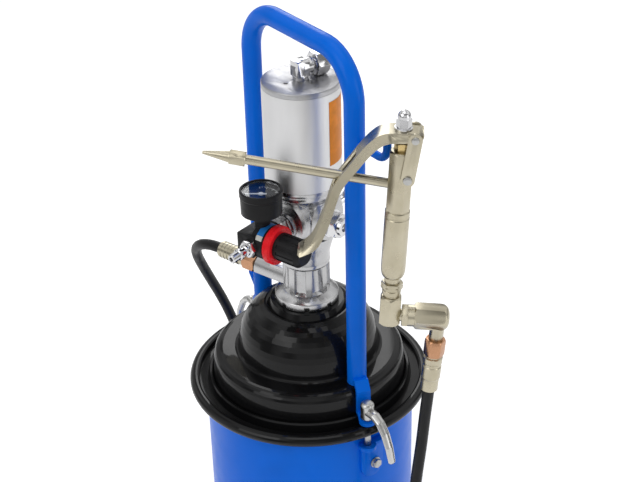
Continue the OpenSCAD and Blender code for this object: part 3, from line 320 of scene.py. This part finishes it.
def cast_metal(name, base, grain=0.12, roughness=(0.22, 0.38)):
    """Aluminium casting, brushed over by hand."""
    metal = Finish(name, base, 1.0, 0.3)
    metal.vary(metal.noise(20, 2), [c * 0.90 for c in base], 0.42, 0.75)
    metal.rough(metal.noise(60, 2), *roughness)
    return metal.bump(metal.noise(700, 2), grain, 0.0002)


def moulded(name, base, roughness=(0.34, 0.48), grain=0.14):
    """Moulded plastic with a fine spark-eroded grain."""
    plastic = Finish(name, base, 0.0, 0.4)
    plastic.set(specular_ior_level=0.15)
    plastic.vary(plastic.noise(60, 2), [c * 1.35 + 0.002 for c in base], 0.45, 0.8)
    plastic.rough(plastic.noise(180, 3), *roughness)
    return plastic.bump(plastic.noise(1800, 2), grain, 0.0002)


def soften(name, width=0.0004, angle=38, segments=2):
    """A copy of a CAD node with its sharp edges broken, which then stands for the node."""
    source = NODES[name]
    bm = bmesh.new()
    bm.from_mesh(source.data)
    bmesh.ops.remove_doubles(bm, verts=bm.verts, dist=SAME_POINT)
    bmesh.ops.dissolve_limit(bm, angle_limit=FLAT_ANGLE, verts=bm.verts, edges=bm.edges)
    mesh = bpy.data.meshes.new(name + "_edged")
    bm.to_mesh(mesh)
    bm.free()
    for material in source.data.materials:
        mesh.materials.append(material)
    obj = link(bpy.data.objects.new(name + "_edged", mesh))
    bevel = obj.modifiers.new("Edges", "BEVEL")
    bevel.limit_method = "ANGLE"
    bevel.angle_limit = math.radians(angle)
    bevel.width = width
    bevel.segments = segments
    bevel.use_clamp_overlap = True
    bevel.miter_outer = "MITER_ARC"
    finished = bake_modifiers(obj)
    finished.shade_smooth()
    finished.set_sharp_from_angle(angle=math.radians(angle))
    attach(obj, source["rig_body"])
    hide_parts(name)
    return obj


# Camera and light

class GREASE_OT_stage(bpy.types.Operator):
    """Sets up the camera, the pale floor and the soft studio light"""
    bl_idname = "grease_pump.stage"
    bl_label = "Studio"

    def execute(self, context):
        stage = context.scene.grease_pump_stage
        self.place_camera(context)
        self.lay_floor(stage)
        self.light(context, stage)
        context.scene.view_settings.view_transform = "Standard"
        return {"FINISHED"}

    def place_camera(self, context):
        azimuth, pitch, yaw, roll = (math.radians(a) for a in CAMERA_ANGLES)
        turn = Matrix.Rotation(azimuth, 3, "Z")
        ahead = turn @ Vector((math.sin(yaw) * math.cos(pitch), math.cos(yaw) * math.cos(pitch),
                               -math.sin(pitch)))
        level = turn @ Vector((math.cos(yaw), -math.sin(yaw), 0))
        high = level.cross(ahead)
        right = math.cos(roll) * level + math.sin(roll) * high
        up = math.cos(roll) * high - math.sin(roll) * level
        data = bpy.data.cameras.new("camera")
        data.sensor_width = CAMERA_SENSOR
        data.lens = CAMERA_LENS
        camera = link(bpy.data.objects.new("camera", data))
        axes = Matrix((right, up, -ahead)).transposed().to_4x4()
        camera.matrix_world = Matrix.Translation(CAMERA_PLACE) @ axes
        context.scene.camera = camera

    def seen(self, tree, mirrors=True):
        """One for the rays that see the backdrop: straight, through glass and, if asked, in a mirror."""
        path = tree.nodes.new("ShaderNodeLightPath")
        total = path.outputs["Is Camera Ray"]
        for name in ("Is Transmission Ray", "Is Glossy Ray")[:2 if mirrors else 1]:
            total = calc(tree, "MAXIMUM", total, path.outputs[name])
        return total

    def lay_floor(self, stage):
        bm = bmesh.new()
        bmesh.ops.create_grid(bm, x_segments=1, y_segments=1, size=FLOOR_HALF)
        bmesh.ops.translate(bm, verts=bm.verts, vec=(0, 0, -FLOOR_DROP))
        mesh = bpy.data.meshes.new("studio_floor")
        bm.to_mesh(mesh)
        bm.free()
        floor = link(bpy.data.objects.new("studio_floor", mesh))
        material = bpy.data.materials.new("studio_floor")
        material.use_nodes = True
        tree = material.node_tree
        shader = tree.nodes["Principled BSDF"]
        shader.inputs["Base Color"].default_value = (*stage.floor_white, 1)
        shader.inputs["Roughness"].default_value = 0.85
        shader.inputs["Emission Color"].default_value = (1, 1, 1, 1)
        feed(tree, shader.inputs["Emission Strength"], calc(tree, "MULTIPLY", self.seen(tree), FLOOR_GLOW))
        mesh.materials.append(material)

    def light(self, context, stage):
        """An even room, which bright surfaces mirror with darker screens, and four soft lamps."""
        world = bpy.data.worlds.new("studio_room")
        world.use_nodes = True
        tree = world.node_tree
        room = tree.nodes["Background"]
        room.inputs["Color"].default_value = (1, 1, 1, 1)
        around = tree.nodes.new("ShaderNodeTexCoord").outputs["Generated"]
        height = add_node(tree, "ShaderNodeSeparateXYZ", Vector=around).outputs["Z"]
        walls = map_range(tree, height, -0.2, 0.8, 0.3 * stage.gloss_level, stage.gloss_level)
        patches = add_node(tree, "ShaderNodeTexNoise", Vector=around, Scale=1.9, Detail=0.5).outputs["Fac"]
        screens = map_range(tree, patches, 0.36, 0.62, 0.25, 1.2)
        glossy = tree.nodes.new("ShaderNodeLightPath").outputs["Is Glossy Ray"]
        strength = mix(tree, glossy, stage.world_level, calc(tree, "MULTIPLY", walls, screens))
        feed(tree, room.inputs["Strength"], mix(tree, self.seen(tree, False), strength, 1))
        context.scene.world = world
        key = stage.key_power
        for name, place, size, power in (
                ("key", (0.2, -1.9, 1.9), (1.4, 1.6), key),
                ("side", (2.0, 0.7, 1.0), (0.8, 1.6), key * 0.6),
                ("rim", (-1.5, 0.9, 1.5), (0.6, 1.2), key * 0.55),
                ("top", (0.1, 0.0, 2.4), (1.2, 1.2), key * 0.45)):
            data = bpy.data.lights.new(name, "AREA")
            data.shape = "RECTANGLE"
            data.size, data.size_y = size
            data.energy = power
            lamp = link(bpy.data.objects.new(name, data))
            lamp.location = place
            lamp.rotation_mode = "QUATERNION"
            lamp.rotation_quaternion = (LIGHT_AIM - Vector(place)).to_track_quat("-Z", "Y")


# Hose

class GREASE_OT_hose(bpy.types.Operator):
    """Lays the grease hose from pump to gun, with its spare length coiled and tied behind the drum"""
    bl_idname = "grease_pump.hose"
    bl_label = "Hose"

    def execute(self, context):
        hose = context.scene.grease_pump_hose
        line = self.line(hose)
        rubber = Finish("hose_rubber", (0.010, 0.010, 0.011), 0.0, 0.45)
        rubber.set(specular_ior_level=0.2)
        rubber.vary(rubber.noise(30, 3), (0.020, 0.020, 0.021), 0.45, 0.8)
        rubber.rough(rubber.noise(90, 3), 0.34, 0.52)
        rubber.bump(rubber.noise(1100, 2), 0.10, 0.0003)
        data = bpy.data.curves.new("grease_hose", "CURVE")
        data.dimensions = "3D"
        data.bevel_depth = hose.diameter / 2
        data.bevel_resolution = 5
        data.use_fill_caps = True
        spline = data.splines.new("POLY")
        spline.points.add(len(line) - 1)
        for point, place in zip(spline.points, line):
            point.co = (*place, 1)
        spline.use_smooth = True
        obj = link(bpy.data.objects.new("grease_hose", data))
        data.materials.append(rubber.material)
        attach(obj, "pump")
        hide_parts("hose_left", "hose_coil", "hose_right")
        self.ties(hose)
        return {"FINISHED"}

    def line(self, hose):
        """The hose's middle line: left run, coil and right run."""
        across = (hose.coil_outer, hose.coil_inner)
        coil = []
        for (a0, p0, l0), (a1, p1, l1) in zip(COIL_STOPS, COIL_STOPS[1:]):
            steps = max(2, round((a1 - a0) / COIL_STEP))
            for k in range(steps):
                t = k / steps
                ease = 0.5 - 0.5 * math.cos(math.pi * t)
                angle = COIL_START + math.radians(a0 + (a1 - a0) * t)
                radius = across[p0] + (across[p1] - across[p0]) * ease
                height = hose.diameter * (0.5 + l0 + (l1 - l0) * ease)
                offset = Vector((radius * math.cos(angle), radius * math.sin(angle), height))
                coil.append(COIL_MIDDLE + offset)
        left = smooth_line([HOSE_START] + HOSE_LEFT + coil[1:3], ROUTE_STEPS)[:-2 * ROUTE_STEPS]
        right = smooth_line([coil[-1]] + HOSE_RIGHT + [HOSE_END], ROUTE_STEPS)
        return left + coil[1:-1] + right

    def ties(self, hose):
        """Narrow bands round the coil's bundle of turns."""
        band = moulded("tie_black", (0.02, 0.02, 0.021))
        bm = bmesh.new()
        play, corner, half_band = 0.0012, 0.006, 0.003
        middle = (hose.coil_outer + hose.coil_inner) / 2
        reach = (hose.coil_outer - hose.coil_inner + hose.diameter) / 2 + play - corner
        top = COIL_LAYERS * hose.diameter + play - corner
        foot = play + corner
        ring = []
        for quarter, (x, z) in enumerate(((reach, top), (-reach, top), (-reach, foot), (reach, foot))):
            for k in range(5):
                a = math.radians(90 * quarter + 22.5 * k)
                ring.append((x + corner * math.cos(a), z + corner * math.sin(a)))
        for i in range(hose.ties):
            angle = math.radians(150 + 150 * i)
            out = Vector((math.cos(angle), math.sin(angle), 0))
            side = Vector((-out.y, out.x, 0))
            loops = []
            for w in (-half_band, half_band):
                loops.append([bm.verts.new(COIL_MIDDLE + out * (middle + x) + side * w + Vector((0, 0, z)))
                              for x, z in ring])
            for k in range(len(ring)):
                n = (k + 1) % len(ring)
                bm.faces.new((loops[0][k], loops[0][n], loops[1][n], loops[1][k]))
        bmesh.ops.recalc_face_normals(bm, faces=bm.faces)
        obj = mesh_piece("hose_ties", bm, band.material, "pump")
        wall = obj.modifiers.new("Wall", "SOLIDIFY")
        wall.thickness = 0.001
        wall.offset = 1


# Finishes of the CAD nodes

class GREASE_OT_finishes(bpy.types.Operator):
    """Gives every CAD node its enamel, plating, casting, plastic or rubber, and breaks the hard edges"""
    bl_idname = "grease_pump.finishes"
    bl_label = "Finishes"

    def execute(self, context):
        colours = context.scene.grease_pump_finishes
        blue = enamel("drum_enamel", colours.drum_blue)
        black = enamel("lid_enamel", colours.lid_black, 0.06)
        black.set(coat_weight=0.36, coat_roughness=0.05, specular_ior_level=0.06)
        zinc = plated("bright_zinc", (0.44, 0.44, 0.43), (0.36, 0.36, 0.35), (0.24, 0.34))
        lever = cast_metal("lever_casting", (0.50, 0.50, 0.49), 0.06)
        casting = cast_metal("polished_casting", (0.47, 0.47, 0.475), 0.03, (0.22, 0.30))
        satin = Finish("satin_tube", (0.66, 0.66, 0.665), 1.0, 0.44)
        satin.vary(satin.noise(9, 2), (0.61, 0.61, 0.615), 0.4, 0.75)
        satin.rough(satin.noise(60, 3, (1, 1, 0.2)), 0.42, 0.50)
        satin.bump(satin.noise(500, 2, (1, 1, 0.04)), 0.05, 0.0002)
        turned = Finish("turned_cap", (0.40, 0.40, 0.41), 1.0, 0.36)
        turned.vary(turned.rings(260, 1.5), (0.34, 0.34, 0.35), 0.2, 0.8)
        turned.rough(turned.noise(120, 3), 0.30, 0.44)
        turned.bump(turned.rings(900), 0.05, 0.0002)
        chrome = Finish("chrome_plate", (0.62, 0.62, 0.63), 1.0, 0.14)
        chrome.vary(chrome.noise(40, 2), (0.55, 0.55, 0.56), 0.45, 0.8)
        chrome.rough(chrome.noise(60, 2), 0.12, 0.18)
        champagne = plated("champagne_plate", (0.48, 0.44, 0.335), (0.42, 0.38, 0.28), (0.26, 0.32))
        copper = plated("copper_plate", (0.48, 0.26, 0.15), (0.41, 0.21, 0.115))
        brass = plated("gland_brass", (0.66, 0.52, 0.26), (0.52, 0.38, 0.16))
        plastic = moulded("regulator_plastic", (0.011, 0.011, 0.012))
        red = moulded("ring_plastic", colours.ring_red, (0.22, 0.34), 0.06)
        white = moulded("pointer_paint", (0.82, 0.82, 0.80))
        rubber = moulded("seal_rubber", (0.02, 0.02, 0.02), (0.5, 0.7))
        lens = Finish("gauge_glass", (0.95, 0.97, 1.0), 0.0, 0.03)
        lens.set(transmission_weight=1.0, ior=1.30)
        lens.rough(lens.noise(30, 2), 0.0, 0.04)
        finishes = {
            "blue_paint": blue, "black_enamel": black, "bright_zinc": zinc, "cast_lever": lever,
            "cast_alu": casting, "satin_alu": satin, "dark_steel": turned, "chrome": chrome,
            "zinc_nickel": champagne, "copper_nut": copper, "brass": brass, "black_plastic": plastic,
            "red_plastic": red, "white_paint": white, "rubber": rubber, "lens": lens}
        for part in frame["record"]["subparts"]:
            node = NODES[part["node"]]
            node.data.materials.clear()
            node.data.materials.append(finishes[part["material_slot"]].material)
        for name in ("ring_nut", "pump_column", "valve_block", "cylinder_base", "cap_elbow", "cylinder_cap",
                     "tube_nuts", "side_plug", "regulator_nipple", "regulator_body", "gauge_stem",
                     "inlet_plug", "outlet_nut", "gun_hose_nut", "elbow_body", "elbow_nut", "swivel_body",
                     "swivel_nut", "gun_body", "valve_gland", "stem_cap_nut", "gun_lever", "lever_links",
                     "nozzle_coupler", "clamp_brackets", "bracket_bolts", "clamp_studs"):
            soften(name)
        return {"FINISHED"}


# Colour fields and gauge face

class GREASE_OT_fields(bpy.types.Operator):
    """Lays the plain colour fields on the air cylinder and on the regulator"""
    bl_idname = "grease_pump.fields"
    bl_label = "Colour fields"

    def execute(self, context):
        colours = context.scene.grease_pump_finishes
        orange = moulded("field_orange", colours.field_orange, (0.30, 0.42), 0.04)
        low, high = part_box("air_cylinder")
        self.field("cylinder_field", Matrix.Identity(4), (high.x - low.x) / 2,
                   (high.z - 0.083, high.z - 0.0085), (9, 55), orange)
        low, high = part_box("gauge_dial")
        ring_low, ring_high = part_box("lock_ring")
        middle = (low + high) / 2
        middle.z = (ring_low.z + ring_high.z) / 2
        # Along the regulator's axis, with the strip's angle counted from its top towards the front
        place = Matrix.Translation(middle) @ Matrix.Rotation(PUMP_YAW, 4, "Z") @ Matrix((
            (0, 0, 1, 0), (0, -1, 0, 0), (1, 0, 0, 0), (0, 0, 0, 1)))
        radius = (ring_high.z - ring_low.z) / 2 - 0.0018
        blue = moulded("field_blue", colours.field_blue, (0.30, 0.42), 0.04)
        pale = moulded("field_pale", (0.62, 0.62, 0.58), (0.30, 0.42), 0.04)
        span = (0.0042, 0.0126)
        self.field("regulator_field", place, radius, span, (-30, 46), blue)
        self.field("regulator_field_end", place, radius, span, (46, 62), pale)
        return {"FINISHED"}

    def field(self, name, place, radius, span, angles, finish):
        """A thin strip that lies on a cylinder round the place's own Z axis."""
        bm = bmesh.new()
        columns = []
        for k in range(FIELD_STEPS + 1):
            angle = math.radians(angles[0] + (angles[1] - angles[0]) * k / FIELD_STEPS)
            x, y = (radius + FIELD_LIFT) * math.cos(angle), (radius + FIELD_LIFT) * math.sin(angle)
            columns.append([bm.verts.new(place @ Vector((x, y, z))) for z in span])
        for a, b in zip(columns, columns[1:]):
            bm.faces.new((a[0], b[0], b[1], a[1]))
        mesh_piece(name, bm, finish.material, "pump")


class GREASE_OT_gauge(bpy.types.Operator):
    """Prints the tick marks on the gauge's dial"""
    bl_idname = "grease_pump.gauge"
    bl_label = "Gauge face"

    def execute(self, context):
        white = moulded("dial_print", (0.80, 0.80, 0.78), (0.4, 0.5), 0.04)
        low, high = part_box("gauge_dial")
        middle = Vector(((low.x + high.x) / 2, (low.y + high.y) / 2, high.z + 0.00012))
        radius = (high.x - low.x) / 2
        group = self.tick_group()
        for name, count, length, width in (("dial_main_ticks", 11, 0.0034, 0.0007),
                                           ("dial_fine_ticks", 51, 0.0018, 0.0003)):
            obj = link(bpy.data.objects.new(name, bpy.data.meshes.new(name)))
            ticks = obj.modifiers.new("Ticks", "NODES")
            ticks.node_group = group
            values = {"Count": count, "Radius": radius - DIAL_EDGE - length / 2, "Length": length,
                      "Width": width, "Start": DIAL_START, "Sweep": DIAL_SWEEP, "Material": white.material}
            for item in group.interface.items_tree:
                if item.name in values:
                    ticks[item.identifier] = values[item.name]
            bake_modifiers(obj).transform(Matrix.Translation(middle))
            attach(obj, "pump")
        return {"FINISHED"}

    def tick_group(self):
        """Ticks along an arc round the middle of a dial."""
        group = bpy.data.node_groups.new("dial_ticks", "GeometryNodeTree")
        face = group.interface
        for name, kind in (("Count", "Int"), ("Radius", "Float"), ("Length", "Float"), ("Width", "Float"),
                           ("Start", "Float"), ("Sweep", "Float"), ("Material", "Material")):
            face.new_socket(name, in_out="INPUT", socket_type="NodeSocket" + kind)
        face.new_socket("Geometry", in_out="OUTPUT", socket_type="NodeSocketGeometry")
        given = group.nodes.new("NodeGroupInput").outputs
        index = group.nodes.new("GeometryNodeInputIndex").outputs[0]
        share = calc(group, "DIVIDE", index, calc(group, "SUBTRACT", given["Count"], 1))
        angle = calc(group, "MULTIPLY_ADD", share, given["Sweep"], given["Start"])
        x = calc(group, "MULTIPLY", calc(group, "COSINE", angle), given["Radius"])
        y = calc(group, "MULTIPLY", calc(group, "SINE", angle), given["Radius"])
        place = add_node(group, "ShaderNodeCombineXYZ", X=x, Y=y).outputs[0]
        line = add_node(group, "GeometryNodeMeshLine", Count=given["Count"], Offset=(0, 0, 0))
        moved = add_node(group, "GeometryNodeSetPosition", Geometry=line.outputs["Mesh"], Position=place)
        size = add_node(group, "ShaderNodeCombineXYZ", X=given["Length"], Y=given["Width"], Z=PRINT_THICK)
        bar = add_node(group, "GeometryNodeMeshCube", Size=size.outputs[0])
        turn = add_node(group, "ShaderNodeCombineXYZ", Z=angle)
        ticks = add_node(group, "GeometryNodeInstanceOnPoints", Points=moved.outputs["Geometry"],
                         Instance=bar.outputs["Mesh"], Rotation=turn.outputs[0])
        real = add_node(group, "GeometryNodeRealizeInstances", Geometry=ticks.outputs["Instances"])
        painted = add_node(group, "GeometryNodeSetMaterial", Geometry=real.outputs["Geometry"],
                           Material=given["Material"])
        add_node(group, "NodeGroupOutput", Geometry=painted.outputs["Geometry"])
        return group


class GREASE_PT_panel(bpy.types.Panel):
    """Lists the steps that dress the pump"""
    bl_idname = "GREASE_PT_panel"
    bl_label = "Grease Pump"
    bl_space_type = "VIEW_3D"
    bl_region_type = "UI"
    bl_category = "Grease Pump"

    def draw(self, context):
        layout = self.layout
        scene = context.scene
        for settings in (scene.grease_pump_finishes, scene.grease_pump_hose, scene.grease_pump_stage):
            column = layout.column(align=True)
            for name in settings.__annotations__:
                column.prop(settings, name)
        for step in STEPS:
            layout.operator(step.bl_idname)


STEPS = (GREASE_OT_stage, GREASE_OT_hose, GREASE_OT_finishes, GREASE_OT_fields, GREASE_OT_gauge)
CLASSES = (GreasePumpFinishes, GreasePumpHose, GreasePumpStage, *STEPS, GREASE_PT_panel)


def register():
    for cls in CLASSES:
        bpy.utils.register_class(cls)
    bpy.types.Scene.grease_pump_finishes = PointerProperty(type=GreasePumpFinishes)
    bpy.types.Scene.grease_pump_hose = PointerProperty(type=GreasePumpHose)
    bpy.types.Scene.grease_pump_stage = PointerProperty(type=GreasePumpStage)


def unregister():
    del bpy.types.Scene.grease_pump_stage
    del bpy.types.Scene.grease_pump_hose
    del bpy.types.Scene.grease_pump_finishes
    for cls in reversed(CLASSES):
        bpy.utils.unregister_class(cls)


def main():
    register()
    bpy.ops.grease_pump.stage()
    bpy.ops.grease_pump.hose()
    bpy.ops.grease_pump.finishes()
    bpy.ops.grease_pump.fields()
    bpy.ops.grease_pump.gauge()


if __name__ == "__main__":
    main()
